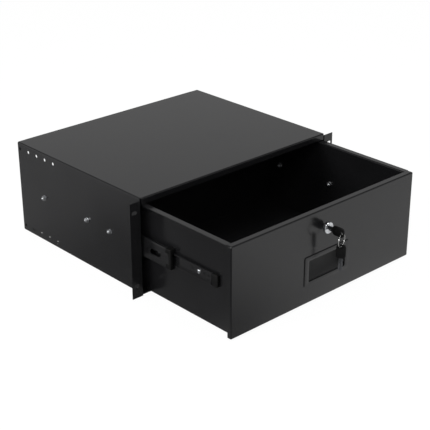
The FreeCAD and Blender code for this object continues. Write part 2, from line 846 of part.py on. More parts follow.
# Screws lie across the drawer; out is the side that the nut is on, away from the head
def cross_screw(side, y, head_u, head, out):
    tip_u = head_u + out * (rail_gauge + sheet + nut_stack + screw_tip)
    top_u = head_u - out * head
    blunt = screw_radius / 2
    shank = cross_rod(side, screw_radius, y, 0, head_u, tip_u - out * blunt)
    base = V(side * (wall_in - tip_u + out * blunt), y, slide_z)
    point = Part.makeCone(screw_radius, blunt, blunt, base, V(-side * out, 0, 0))
    cap = cross_rod(side, screw_head_radius, y, 0, top_u, head_u)
    return joined([cap, shank, point])


def cross_nut(side, y, seat_u, out):
    washer = cross_rod(side, nut_washer_radius, y, 0, seat_u, seat_u + out * nut_washer)
    base = V(side * (wall_in - seat_u - out * nut_washer), y, slide_z)
    nut = hexagon_prism(nut_across_flats, nut_height, base, V(-side * out, 0, 0))
    bore = cross_rod(side, screw_radius + thread_play, y, 0, seat_u, seat_u + out * 2 * nut_stack)
    return joined([washer, nut]).cut(bore)


def case_screws(side):
    return Part.makeCompound([cross_screw(side, rail_setback + place, rail_gauge, case_screw_head, -1)
                              for place in case_screw_places])


def case_nuts(side):
    return Part.makeCompound([cross_nut(side, rail_setback + place, -sheet, -1)
                              for place in case_screw_places])


def drawer_screws(side):
    return Part.makeCompound([cross_screw(side, rail_setback + place, drawer_web, drawer_screw_head, 1)
                              for place in drawer_screw_places])


def drawer_nuts(side):
    return Part.makeCompound([cross_nut(side, rail_setback + place, slide_thickness + sheet, 1)
                              for place in drawer_screw_places])


def drawer_pieces():
    return {
        "drawer_tub": drawer_tub(),
        "drawer_rear_wall": drawer_rear_wall(),
        "drawer_front_panel": drawer_front_panel(),
        "pull": pull(),
        "pull_screws": pull_screws(),
        "lock_barrel": lock_barrel(),
        "lock_nut": lock_nut(),
        "lock_plug": lock_plug(),
        "lock_cam": lock_cam(),
        "cam_bolt": cam_bolt(),
        "key_blade": in_lock(key_blade()),
        "key_head": in_lock(key_head()),
        "key_ring": key_ring(),
        "spare_key_blade": hung(key_blade()),
        "spare_key_head": hung(key_head()),
    }


def slide_pieces(side):
    return {
        "case_rail": case_rail(side),
        "case_rail_screws": case_screws(side),
        "case_rail_nuts": case_nuts(side),
        "outer_ball_cage": outer_ball_cage(side),
        "outer_balls": outer_balls(side),
        "middle_rail": middle_rail(side),
        "middle_bumper": middle_bumper(side),
        "inner_ball_cage": inner_ball_cage(side),
        "inner_balls": inner_balls(side),
        "drawer_rail": moved_out(drawer_rail(side), drawer_out),
        "drawer_rail_bumper": moved_out(drawer_rail_bumper(side), drawer_out),
        "release_lever": moved_out(release_lever(side), drawer_out),
        "drawer_rail_screws": moved_out(drawer_screws(side), drawer_out),
        "drawer_rail_nuts": moved_out(drawer_nuts(side), drawer_out),
    }


def all_pieces():
    pieces = {
        "case_shell": case_shell(),
        "front_bottom_tie": front_bottom_tie(),
        "rear_bottom_tie": rear_bottom_tie(),
        "lock_strike": lock_strike(),
    }
    for name, shape in drawer_pieces().items():
        pieces[name] = moved_out(shape, drawer_out)
    for side, hand in ((-1, "left"), (1, "right")):
        for name, shape in slide_pieces(side).items():
            pieces[hand + "_" + name] = shape
    return pieces


os.makedirs("parts", exist_ok=True)
for name, shape in all_pieces().items():
    shape.exportStep("parts/" + name + ".step")
    print(name, len(shape.Solids), shape.isValid(), round(shape.Volume, 1))
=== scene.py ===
"""Finishes, small detailed parts and a plain studio for the sliding rack drawer."""

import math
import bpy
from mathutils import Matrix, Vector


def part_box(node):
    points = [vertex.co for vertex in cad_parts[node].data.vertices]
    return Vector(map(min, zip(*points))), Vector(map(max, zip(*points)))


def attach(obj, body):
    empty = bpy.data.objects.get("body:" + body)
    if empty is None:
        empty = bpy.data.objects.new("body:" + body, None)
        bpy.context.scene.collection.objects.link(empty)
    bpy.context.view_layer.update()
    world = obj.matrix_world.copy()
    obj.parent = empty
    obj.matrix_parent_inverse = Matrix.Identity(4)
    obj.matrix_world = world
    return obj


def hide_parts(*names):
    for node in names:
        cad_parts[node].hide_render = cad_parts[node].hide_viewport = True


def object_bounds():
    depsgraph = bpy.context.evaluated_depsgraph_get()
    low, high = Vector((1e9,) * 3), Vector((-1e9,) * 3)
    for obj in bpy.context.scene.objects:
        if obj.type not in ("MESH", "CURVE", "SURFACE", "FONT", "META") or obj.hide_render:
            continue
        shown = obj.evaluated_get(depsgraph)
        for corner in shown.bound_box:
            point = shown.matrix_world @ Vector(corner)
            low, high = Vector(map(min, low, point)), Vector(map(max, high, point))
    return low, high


bl_info = {
    "name": "Sliding Rack Drawer",
    "version": (1, 0, 0),
    "blender": (4, 5, 0),
    "location": "3D Viewport > Sidebar > Rack Drawer",
    "description": "Dresses the solids of a sliding rack drawer with finishes, fasteners, lock and keys",
    "category": "Object",
}

import bmesh
import bpy
from mathutils import Matrix, Vector

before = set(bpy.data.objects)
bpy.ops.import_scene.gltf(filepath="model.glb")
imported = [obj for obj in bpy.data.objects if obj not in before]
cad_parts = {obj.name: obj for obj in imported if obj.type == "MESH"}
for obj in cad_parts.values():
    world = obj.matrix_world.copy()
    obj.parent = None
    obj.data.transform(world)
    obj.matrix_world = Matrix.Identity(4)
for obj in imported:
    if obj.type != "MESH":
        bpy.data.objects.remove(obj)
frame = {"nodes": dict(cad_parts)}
cad_low, cad_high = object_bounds()

MM = 0.001
MICRON = 0.000001
SIDES = ("left", "right")
OUTWARD = {"left": -1, "right": 1}

# Distances from a rail's front end to its screws, which hold it to the case or to the drawer
SCREW_PLACES = {"case": (0.036, 0.100, 0.228), "drawer": (0.035, 0.131, 0.259)}
RAIL_GAUGE = 1.2 * MM

# Each finish, and the nodes of the frame that keep their own shape and take it
FINISHED_NODES = {
    "powder_coated_steel": ("case_shell", "front_bottom_tie", "rear_bottom_tie", "lock_strike",
                            "drawer_tub", "drawer_rear_wall", "drawer_front_panel"),
    "electrocoated_rail_steel": ("case_rail", "drawer_rail"),
    "zinc_plated_steel": ("pull_screws", "lock_nut", "cam_bolt", "lock_cam"),
    "ground_bearing_steel": ("outer_balls", "inner_balls"),
    "pressed_cage_steel": ("outer_ball_cage", "inner_ball_cage"),
}


def linear(hex_colour):
    """The linear colour of an sRGB hex value."""
    shares = [int(hex_colour[i:i + 2], 16) / 255 for i in (1, 3, 5)]
    return tuple(v / 12.92 if v <= 0.04045 else ((v + 0.055) / 1.055) ** 2.4 for v in shares)


def low(node):
    return Vector(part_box(node)[0])


def high(node):
    return Vector(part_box(node)[1])


def middle(node):
    return (low(node) + high(node)) / 2


# Sizes, colours and studio

def length(name, description, default):
    return bpy.props.FloatProperty(name=name, description=description, default=default, min=0.0,
                                   precision=5, unit="LENGTH", subtype="DISTANCE")


def amount(name, description, default, **more):
    return bpy.props.FloatProperty(name=name, description=description, default=default, min=0.0, **more)


def angle(name, description, degrees):
    return bpy.props.FloatProperty(name=name, description=description, default=math.radians(degrees),
                                   unit="ROTATION", subtype="ANGLE")


def count(name, description, default, least, most):
    return bpy.props.IntProperty(name=name, description=description, default=default, min=least, max=most)


def colour(name, description, hex_colour):
    return bpy.props.FloatVectorProperty(name=name, description=description, default=linear(hex_colour),
                                         size=3, min=0.0, max=1.0, subtype="COLOR")


class RackDrawerSizes(bpy.types.PropertyGroup):
    """Sizes of the small parts that are built round the frame"""
    screw_radius: length("Screw radius", "Radius of the slide screws over their thread", 0.002)
    screw_head_radius: length("Screw head radius", "Radius of the slide screws' pan heads", 0.004)
    thread_pitch: length("Thread pitch", "Distance between the turns of a slide screw's thread", 0.0007)
    nut_flats: length("Nut across flats", "Width of the slide nuts between two flats", 0.007)
    washer_radius: length("Washer radius", "Radius of the toothed washer under each slide nut", 0.0047)
    washer_height: length("Washer thickness", "Thickness of the toothed washer", 0.001)
    washer_teeth: count("Washer teeth", "Teeth round each washer", 14, 6, 40)
    eased_edge: length("Eased edge", "Rounding of the edges of moulded and cast parts", 0.00035)
    bezel_radius: length("Bezel radius", "Radius of the lock's bright ring", 0.010)
    bezel_height: length("Bezel height", "How far the lock's ring stands off the front", 0.0032)
    barrel_radius: length("Barrel radius", "Radius of the lock's threaded barrel", 0.008)
    plug_radius: length("Plug radius", "Radius of the turning plug, with its clearance", 0.00556)
    ring_radius: length("Key ring radius", "Radius of the split ring at the middle of its wire", 0.011)
    ring_wire: length("Ring wire", "Thickness of the split ring's wire", 0.00066)
    ring_turns: bpy.props.FloatProperty(name="Ring turns", description="Turns of wire in the split ring",
                                        default=2.04, min=1.0, max=4.0)
    key_panel_depth: length("Key panel depth", "Depth of the sunk panel on a key's moulded head", 0.00035)
    key_groove_depth: length("Key groove depth", "Depth of the groove milled along a key's blade", 0.0004)
    slot_from_end: length("Slot place", "From a middle rail's front end to its slot", 0.020)
    slot_length: length("Slot length", "Length of the slot in a middle rail", 0.026)
    slot_height: length("Slot height", "Height of the slot in a middle rail", 0.0096)
    rib_count: count("Lever ribs", "Grip ribs on each release lever's pad", 5, 1, 9)


class RackDrawerColours(bpy.types.PropertyGroup):
    """Colours of the finishes"""
    powder_coat: colour("Powder coat", "Black powder coat on the sheet steel", "#0f0f10")
    pull_coat: colour("Pull coat", "Black coat on the cast pull", "#0d0d0e")
    rail_coat: colour("Rail coat", "Black electrocoat on the rolled rails", "#0e0e0f")
    zinc: colour("Zinc plate", "Bright zinc plate on screws, nuts and cam", "#e2e4e7")
    chrome: colour("Chrome plate", "Chrome plate on the lock", "#dfe1e4")
    nickel: colour("Nickel plate", "Nickel plate on the key ring", "#c6c6c4")
    # Painted shade: the key blades' nickel is painted darker than the ring's, for the dark surroundings
    # that they mirror
    nickel_with_painted_shade: colour("Dark nickel plate", "Dark nickel plate on the key blades", "#5f6063")
    bearing_steel: colour("Bearing steel", "Ground steel of the balls", "#c9cbcd")
    cage_steel: colour("Cage steel", "Pressed strip of the ball cages", "#a9abad")
    plastic: colour("Black plastic", "Moulded plastic of key heads, stops and levers", "#080808")
    floor: colour("Floor", "Studio floor and backdrop", "#f4f4f4")


class RackDrawerStudio(bpy.types.PropertyGroup):
    """Camera and light"""
    azimuth: angle("Azimuth", "Turn of the camera to the left of the front", 42.517)
    elevation: angle("Elevation", "Height of the camera above the level", 24.644)
    roll: angle("Roll", "Turn of the camera about its line of sight", -0.203)
    distance: length("Distance", "From the camera to the point that it looks at", 2.01816)
    target: bpy.props.FloatVectorProperty(name="Target", description="Point that the camera looks at",
                                          default=(-0.009562, 0.050594, -0.0228), size=3, precision=5,
                                          unit="LENGTH", subtype="TRANSLATION")
    lens: bpy.props.FloatProperty(name="Lens", description="Focal length in millimetres on a 36 mm sensor",
                                  default=94.147, min=1.0)
    sky: amount("Surround light", "Strength of the even light all round", 0.9)
    sky_mirrored: amount("Mirrored surround", "Brightness of the walls in glossy surfaces", 0.48)
    # Painted light on the floor that only glossy surfaces mirror, dim on the left and bright on the right
    painted_reflection_left: amount("Mirrored floor, left", "Brightness of the left floor in glossy surfaces", 0.12)
    painted_reflection_right: amount("Mirrored floor, right", "Brightness of the right floor in glossy surfaces", 0.88)
    right_light: amount("Right light", "Power of the lamp high on the right", 14.0, unit="POWER")
    front_light: amount("Front light", "Power of the lamp above the camera", 8.0, unit="POWER")
    left_light: amount("Left light", "Power of the lamp far out on the left", 24.0, unit="POWER")


# Node trees

def add_node(tree, kind, settings=None, links=None):
    """Adds a node. Settings are its own properties or its inputs, and links lead to its inputs."""
    node = tree.nodes.new(kind)
    for name, value in (settings or {}).items():
        if isinstance(name, str) and hasattr(node, name):
            setattr(node, name, value)
        else:
            node.inputs[name].default_value = value
    for name, source in (links or {}).items():
        tree.links.new(source, node.inputs[name])
    return node


def blank_material(name):
    material = bpy.data.materials.new(name)
    material.use_nodes = True
    material.node_tree.nodes.clear()
    return material


def pattern(tree, size, detail, stretch=(1.0, 1.0, 1.0)):
    """Noise on the piece's own coordinates whose features are about this size in metres."""
    coordinates = add_node(tree, "ShaderNodeTexCoord")
    mapping = add_node(tree, "ShaderNodeMapping", {"Scale": stretch},
                       {"Vector": coordinates.outputs["Object"]})
    noise = add_node(tree, "ShaderNodeTexNoise", {"Scale": 1 / size, "Detail": detail, "Roughness": 0.5},
                     {"Vector": mapping.outputs["Vector"]})
    return noise.outputs["Fac"]


def relief(tree, source, depth, edge=0.0):
    """A bump of this depth in metres, over edges that look rounded by the edge radius."""
    links = {"Height": source}
    if edge:
        rounded = add_node(tree, "ShaderNodeBevel", {"samples": 6, "Radius": edge})
        links["Normal"] = rounded.outputs["Normal"]
    bump = add_node(tree, "ShaderNodeBump", {"Distance": depth, "Strength": 1.0}, links)
    return bump.outputs["Normal"]


def surface(name, tone, clouds, shades, gloss, depth, grain=None, edge=0.0, sockets=None):
    """A material of one Principled shader. A pattern of clouds leads its colour between two shades of
    the tone and its roughness between the two values of its gloss. The grain, or else the clouds,
    stands in relief. Clouds and grain are a size, a detail and a stretch."""
    material = blank_material(name)
    tree = material.node_tree
    cloud = pattern(tree, *clouds)
    bumps = pattern(tree, *grain) if grain else cloud
    ramp = add_node(tree, "ShaderNodeValToRGB", {}, {"Fac": cloud})
    for stop, place, shade in zip(ramp.color_ramp.elements, (0.35, 0.65), shades):
        stop.position = place
        stop.color = (*(min(1.0, v * shade) for v in tone), 1.0)
    rough = add_node(tree, "ShaderNodeMapRange",
                     {"From Min": 0.3, "From Max": 0.7, "To Min": gloss[0], "To Max": gloss[1]},
                     {"Value": cloud})
    shader = add_node(tree, "ShaderNodeBsdfPrincipled", sockets,
                      {"Base Color": ramp.outputs["Color"], "Roughness": rough.outputs["Result"],
                       "Normal": relief(tree, bumps, depth, edge)})
    add_node(tree, "ShaderNodeOutputMaterial", {}, {"Surface": shader.outputs["BSDF"]})
    return material


# Finishes

METAL = {"Metallic": 1.0}
ALONG_RAIL = (1.0, 0.03, 1.0)
ALONG_CAGE = (1.0, 0.05, 1.0)
ALONG_BLADE = (1.0, 1.0, 0.08)


def powder_coated_steel(colours):
    """Folded sheet steel under a smooth black powder coat, oven cured: a satin gloss with a faint
    orange peel about 1.5 mm across, and folds about 1 mm round that mirror a thin dark line."""
    surface("powder_coated_steel", colours.powder_coat, clouds=(90 * MM, 3.0), shades=(0.9, 1.15),
            gloss=(0.15, 0.21), depth=4 * MICRON, grain=(1.5 * MM, 1.0), edge=1.0 * MM,
            sockets={"Metallic": 0.0, "IOR": 1.5})


def coated_die_cast_zinc(colours):
    """Die-cast zinc under black coat: a little rougher than the sheet, and matt in the pocket behind
    the face, where the casting isn't polished."""
    material = surface("coated_die_cast_zinc", colours.pull_coat, clouds=(30 * MM, 3.0), shades=(0.9, 1.15),
                       gloss=(0.19, 0.26), depth=6 * MICRON, grain=(1.1 * MM, 3.0),
                       sockets={"Metallic": 0.0, "IOR": 1.5})
    tree = material.node_tree
    place = add_node(tree, "ShaderNodeTexCoord")
    axes = add_node(tree, "ShaderNodeSeparateXYZ", {}, {"Vector": place.outputs["Object"]})
    face = low("pull").y
    pocket = add_node(tree, "ShaderNodeMapRange",
                      {"From Min": face + 2.0 * MM, "From Max": face + 3.0 * MM, "To Min": 0.0,
                       "To Max": 0.4}, {"Value": axes.outputs["Y"]})
    roughness = tree.nodes["Principled BSDF"].inputs["Roughness"]
    both = add_node(tree, "ShaderNodeMath", {"operation": "ADD"},
                    {0: roughness.links[0].from_socket, 1: pocket.outputs["Result"]})
    tree.links.new(both.outputs[0], roughness)


def electrocoated_rail_steel(colours):
    """Cold-rolled rail steel under a thin electrocoat: the rolling lines, 0.6 mm apart and long
    along the rail, show through it as streaks of gloss."""
    surface("electrocoated_rail_steel", colours.rail_coat, clouds=(0.6 * MM, 2.0, ALONG_RAIL),
            shades=(0.85, 1.25), gloss=(0.15, 0.23), depth=4 * MICRON, edge=0.3 * MM,
            sockets={"Metallic": 0.0, "IOR": 1.75})


def zinc_plated_steel(colours):
    """Bright zinc plate on cold-headed steel: bluish white metal with cloudy passivation."""
    surface("zinc_plated_steel", colours.zinc, clouds=(4 * MM, 3.0), shades=(0.82, 1.0),
            gloss=(0.2, 0.34), depth=4 * MICRON, grain=(0.3 * MM, 2.0), sockets=METAL)


def chrome_plated_brass(colours):
    """Polished brass under bright chrome: a near mirror with a breath of haze in patches."""
    surface("chrome_plated_brass", colours.chrome, clouds=(3 * MM, 2.0), shades=(0.94, 1.0),
            gloss=(0.07, 0.14), depth=2 * MICRON, sockets=METAL)


def nickel_plated_brass(colours):
    """Stamped brass under nickel: a warm silver with draw lines 0.3 mm apart."""
    surface("nickel_plated_brass", colours.nickel, clouds=(0.3 * MM, 2.0, ALONG_BLADE),
            shades=(0.86, 1.0), gloss=(0.18, 0.3), depth=3 * MICRON, sockets=METAL)


def dark_nickel_plated_brass(colours):
    """Stamped brass under nickel, its colour painted darker than the ring's as painted shade for the dark
    surroundings that the blades mirror: faint draw lines, and soft edges as if polished in use.
    """
    surface("dark_nickel_plated_brass", colours.nickel_with_painted_shade, clouds=(0.3 * MM, 2.0, ALONG_BLADE),
            shades=(0.86, 1.0), gloss=(0.14, 0.24), depth=3 * MICRON, edge=0.3 * MM, sockets=METAL)


def ground_bearing_steel(colours):
    """Ground and lapped balls under a film of grease: bright, with smeared patches."""
    surface("ground_bearing_steel", colours.bearing_steel, clouds=(1.5 * MM, 3.0), shades=(0.8, 1.0),
            gloss=(0.08, 0.22), depth=2 * MICRON, sockets=METAL)


def pressed_cage_steel(colours):
    """Strip steel pressed to a ball cage: dull grey, with roll marks along the strip."""
    surface("pressed_cage_steel", colours.cage_steel, clouds=(0.5 * MM, 2.0, ALONG_CAGE),
            shades=(0.8, 1.0), gloss=(0.32, 0.46), depth=4 * MICRON, sockets=METAL)


def moulded_black_plastic(colours):
    """Injection-moulded acetal from a spark-eroded tool: a fine matt grain 0.35 mm across."""
    surface("moulded_black_plastic", colours.plastic, clouds=(10 * MM, 2.0), shades=(0.9, 1.2),
            gloss=(0.5, 0.62), depth=12 * MICRON, grain=(0.35 * MM, 2.0),
            sockets={"Metallic": 0.0, "IOR": 1.46, "Specular IOR Level": 0.18})


FINISHES = (powder_coated_steel, coated_die_cast_zinc, electrocoated_rail_steel, zinc_plated_steel,
            chrome_plated_brass, nickel_plated_brass, dark_nickel_plated_brass, ground_bearing_steel,
            pressed_cage_steel, moulded_black_plastic)


# Shapes

def new_object(name, mesh):
    piece = bpy.data.objects.new(name, mesh)
    bpy.context.scene.collection.objects.link(piece)
    return piece


def drop(piece):
    bpy.data.objects.remove(piece, do_unlink=True)


def mesh_of(form, name):
    """A mesh from a bmesh of closed shells, with its faces turned outwards."""
    bmesh.ops.recalc_face_normals(form, faces=form.faces)
    mesh = bpy.data.meshes.new(name)
    form.to_mesh(mesh)
    form.free()
    return mesh


def settled(piece):
    """Applies the piece's modifiers."""
    graph = bpy.context.evaluated_depsgraph_get()
    mesh = bpy.data.meshes.new_from_object(piece.evaluated_get(graph), preserve_all_data_layers=True,
                                           depsgraph=graph)
    piece.modifiers.clear()
    piece.data = mesh
    return piece


def smoothed(piece, sharp_from=35.0):
    """Shades a piece smooth, but for edges that turn by more than this many degrees."""
    piece.data.shade_smooth()
    piece.data.set_sharp_from_angle(angle=math.radians(sharp_from))
    return piece


def on_circle(radius, turn):
    return radius * math.cos(turn), radius * math.sin(turn)


def turned(profile, steps, closed=False):
    """A turned shape about the X axis from points (x, radius). A closed profile gives a tube."""
    form = bmesh.new()
    rings = []
    for x, radius in profile:
        points = steps if radius > 0.0 else 1
        rings.append([form.verts.new((x, *on_circle(radius, 2 * math.pi * k / steps)))
                      for k in range(points)])
    pairs = list(zip(rings, rings[1:]))
    if closed:
        pairs.append((rings[-1], rings[0]))
    for near, far in pairs:
        for k in range(steps):
            corners = [near[k % len(near)], near[(k + 1) % len(near)],
                       far[(k + 1) % len(far)], far[k % len(far)]]
            distinct = list(dict.fromkeys(corners))
            if len(distinct) > 2:
                form.faces.new(distinct)
    return form


def block_between(bottom, bottom_outline, top, top_outline):
    """A closed block along X between two outlines of as many points (y, z)."""
    form = bmesh.new()
    near = [form.verts.new((bottom, y, z)) for y, z in bottom_outline]
    far = [form.verts.new((top, y, z)) for y, z in top_outline]
    form.faces.new(near)
    form.faces.new(far[::-1])
    for k in range(len(near)):
        following = (k + 1) % len(near)
        form.faces.new((near[k], near[following], far[following], far[k]))
    return form


def prism(outline, bottom, top):
    return block_between(bottom, outline, top, outline)


def rectangle(half_y, half_z):
    return [(-half_y, -half_z), (half_y, -half_z), (half_y, half_z), (-half_y, half_z)]


def rounded_outline(low_y, high_y, low_z, high_z, radius):
    """Points (y, z) of a rectangle with round corners."""
    steps = 6
    points = []
    for centre_y, centre_z, start in ((high_y - radius, high_z - radius, 0),
                                      (low_y + radius, high_z - radius, 90),
                                      (low_y + radius, low_z + radius, 180),
                                      (high_y - radius, low_z + radius, 270)):
        for k in range(steps + 1):
            y, z = on_circle(radius, math.radians(start + 90 * k / steps))
            points.append((centre_y + y, centre_z + z))
    return points


def carved(piece, tools, operation="DIFFERENCE"):
    """Cuts the tools out of a piece, or keeps only what lies in them."""
    cutters = [new_object("cutter", mesh_of(tool, "cutter")) for tool in tools]
    for cutter in cutters:
        cut = piece.modifiers.new("cut", "BOOLEAN")
        cut.operation = operation
        cut.solver = "EXACT"
        cut.object = cutter
    settled(piece)
    for cutter in cutters:
        drop(cutter)
    return piece


def eased_copy(node, name, width, segments):
    """A copy of a node of the frame whose sharp edges are rounded."""
    form = bmesh.new()
    form.from_mesh(frame["nodes"][node].data)
    bmesh.ops.remove_doubles(form, verts=form.verts, dist=1 * MICRON)
    bmesh.ops.dissolve_limit(form, angle_limit=math.radians(1.0), verts=form.verts, edges=form.edges)
    piece = new_object(name, mesh_of(form, name))
    bevel = piece.modifiers.new("ease", "BEVEL")
    bevel.width = width
    bevel.segments = segments
    bevel.limit_method = "ANGLE"
    bevel.angle_limit = math.radians(30.0)
    bevel.use_clamp_overlap = True
    return smoothed(settled(piece))


def finish_piece(piece, finish, body, slot, *nodes):
    """Gives a piece its material and body, in place of these nodes. The slot is not used."""
    if finish:
        piece.data.materials.clear()
        piece.data.materials.append(bpy.data.materials[finish])
    if nodes:
        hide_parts(*nodes)
    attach(piece, body)


# Geometry Nodes

def new_tree(name, inputs):
    """A geometry tree with a geometry input, these named inputs, a finish and one geometry output."""
    tree = bpy.data.node_groups.new(name, "GeometryNodeTree")
    tree.interface.new_socket("Geometry", in_out="INPUT", socket_type="NodeSocketGeometry")
    for label, kind, default in (*inputs, ("Finish", "Material", None)):
        socket = tree.interface.new_socket(label, in_out="INPUT", socket_type="NodeSocket" + kind)
        if default is not None:
            socket.default_value = default
    tree.interface.new_socket("Geometry", in_out="OUTPUT", socket_type="NodeSocketGeometry")
    return tree, add_node(tree, "NodeGroupInput").outputs


def close_tree(tree, geometry, finish):
    """Ends a tree: instances made real, and their material set."""
    real = add_node(tree, "GeometryNodeRealizeInstances", {}, {"Geometry": geometry})
    painted = add_node(tree, "GeometryNodeSetMaterial", {},
                       {"Geometry": real.outputs[0], "Material": finish})
    add_node(tree, "NodeGroupOutput", {}, {"Geometry": painted.outputs["Geometry"]})
    return tree


def grown(piece, tree, finish, values):
    """Runs a tree on a piece with this finish and these values, and keeps the result."""
    values = {**values, "Finish": bpy.data.materials[finish]}
    modifier = piece.modifiers.new(tree.name, "NODES")
    modifier.node_group = tree
    for item in tree.interface.items_tree:
        if item.item_type == "SOCKET" and item.in_out == "INPUT" and item.name in values:
            modifier[item.identifier] = values[item.name]
    return settled(piece)


def fastener_row_tree():
    """Puts a fastener on each point, turned half round where the point asks for it and spun about
    its own axis by chance, as fasteners stop wherever they are tight."""
    tree, given = new_tree("fastener_row", (("Fastener", "Object", None),
                                            ("Largest Spin", "Float", math.tau),
                                            ("Seed", "Int", 7)))
    shape = add_node(tree, "GeometryNodeObjectInfo", {"transform_space": "ORIGINAL"},
                     {"Object": given["Fastener"]})
    spin = add_node(tree, "FunctionNodeRandomValue", {"data_type": "FLOAT"},
                    {3: given["Largest Spin"], "Seed": given["Seed"]})
    half_turn = add_node(tree, "GeometryNodeInputNamedAttribute",
                         {"data_type": "FLOAT", "Name": "half_turn"})
    angles = add_node(tree, "ShaderNodeCombineXYZ", {},
                      {"X": spin.outputs[1], "Z": half_turn.outputs["Attribute"]})
    turn = add_node(tree, "FunctionNodeEulerToRotation", {}, {0: angles.outputs["Vector"]})
    placed = add_node(tree, "GeometryNodeInstanceOnPoints", {},
                      {"Points": given["Geometry"], "Instance": shape.outputs["Geometry"],
                       "Rotation": turn.outputs[0]})
    return close_tree(tree, placed.outputs["Instances"], given["Finish"])


def split_ring_tree():
    """A flat wire coiled about twice on itself."""
    tree, given = new_tree("split_ring", (("Ring Radius", "Float", 11 * MM),
                                          ("Wire Width", "Float", 1.2 * MM),
                                          ("Wire Thickness", "Float", 0.66 * MM),
                                          ("Turns", "Float", 2.04),
                                          ("Rise", "Float", 0.7 * MM),
                                          ("Turn", "Vector", (0.0, 0.0, 0.0)),
                                          ("Centre", "Vector", (0.0, 0.0, 0.0))))
    coil = add_node(tree, "GeometryNodeCurveSpiral", {"Resolution": 48},
                    {"Rotations": given["Turns"], "Start Radius": given["Ring Radius"],
                     "End Radius": given["Ring Radius"], "Height": given["Rise"]})
    upright = add_node(tree, "GeometryNodeSetCurveNormal", {"mode": "Z_UP"},
                       {"Curve": coil.outputs["Curve"]})
    section = add_node(tree, "GeometryNodeCurvePrimitiveQuadrilateral", {"mode": "RECTANGLE"},
                       {"Width": given["Wire Width"], "Height": given["Wire Thickness"]})
    soft = add_node(tree, "GeometryNodeFilletCurve", {"mode": "POLY", "Radius": 0.2 * MM, "Count": 3},
                    {"Curve": section.outputs["Curve"]})
    wire = add_node(tree, "GeometryNodeCurveToMesh", {"Fill Caps": True},
                    {"Curve": upright.outputs["Curve"], "Profile Curve": soft.outputs["Curve"]})
    placed = add_node(tree, "GeometryNodeTransform", {},
                      {"Geometry": wire.outputs["Mesh"], "Translation": given["Centre"],
                       "Rotation": given["Turn"]})
    return close_tree(tree, placed.outputs["Geometry"], given["Finish"])


def grip_ribs_tree():
    """A short row of round ribs across a finger pad."""
    tree, given = new_tree("grip_ribs", (("Count", "Int", 5),
                                         ("Pitch", "Float", 1.2 * MM),
                                         ("Rib Radius", "Float", 0.3 * MM),
                                         ("Rib Length", "Float", 4 * MM),
                                         ("First", "Vector", (0.0, 0.0, 0.0))))
    step = add_node(tree, "ShaderNodeCombineXYZ", {}, {"Y": given["Pitch"]})
    line = add_node(tree, "GeometryNodeMeshLine", {"mode": "OFFSET"},
                    {"Count": given["Count"], "Start Location": given["First"],
                     "Offset": step.outputs["Vector"]})
    rib = add_node(tree, "GeometryNodeMeshCylinder", {"Vertices": 12},
                   {"Radius": given["Rib Radius"], "Depth": given["Rib Length"]})
    placed = add_node(tree, "GeometryNodeInstanceOnPoints", {},
                      {"Points": line.outputs["Mesh"], "Instance": rib.outputs["Mesh"]})
    return close_tree(tree, placed.outputs["Instances"], given["Finish"])


# Screws and nuts

# A slide screw's thread root as a share of its radius, and its head's outline from crown to rim as
# shares of the head's height and radius
THREAD_ROOT = 0.84
PAN_HEAD = ((1.0, 0.0), (0.99, 0.4), (0.93, 0.65), (0.78, 0.85), (0.52, 0.96), (0.25, 1.0), (0.0, 1.0))

# The cross recess: its floor and the top of its cutter as shares of the head's height, and a wing's
# half width and half length at both
RECESS_FLOOR, RECESS_TOP = 0.35, 1.2
WING_FLOOR, WING_TOP = (0.32 * MM, 0.70 * MM), (0.52 * MM, 2.3 * MM)

# A slide nut: its bore as a share of the screw's radius, the flare of its mouth as shares of the bore,
# and its chamfer as shares of the corners' reach past the flats and of the flats
BORE = 1.02
MOUTH_DEPTH, MOUTH_WIDTH = 0.2, 1.2
CHAMFER_DEPTH, CHAMFER_WIDTH = 0.7, 0.97

# A washer: its radius between the teeth as a share of the whole, half a tooth's width in radians, and
# its plate as a share of the height up to the nut
TOOTH_ROOT = 0.88
HALF_TOOTH = 0.06
WASHER_PLATE = 0.98


def pan_head_screw(sizes, head_height, reach):
    """A cross-recess pan head screw about X, its seat at x = 0 and its tip at -reach."""
    head, radius, pitch = sizes.screw_head_radius, sizes.screw_radius, sizes.thread_pitch
    profile = [(head_height * up, head * out) for up, out in PAN_HEAD] + [(0.0, radius)]
    x = -pitch
    while x > -reach + radius:
        profile += [(x, radius), (x - pitch / 2, radius * THREAD_ROOT)]
        x -= pitch
    profile += [(-reach + radius / 2, radius), (-reach, radius / 2), (-reach, 0.0)]
    screw = new_object("screw", mesh_of(turned(profile, 24), "screw"))
    recess = [block_between(head_height * RECESS_FLOOR, rectangle(*floor), head_height * RECESS_TOP,
                            rectangle(*top))
              for floor, top in ((WING_FLOOR, WING_TOP), (WING_FLOOR[::-1], WING_TOP[::-1]))]
    return smoothed(carved(screw, recess))


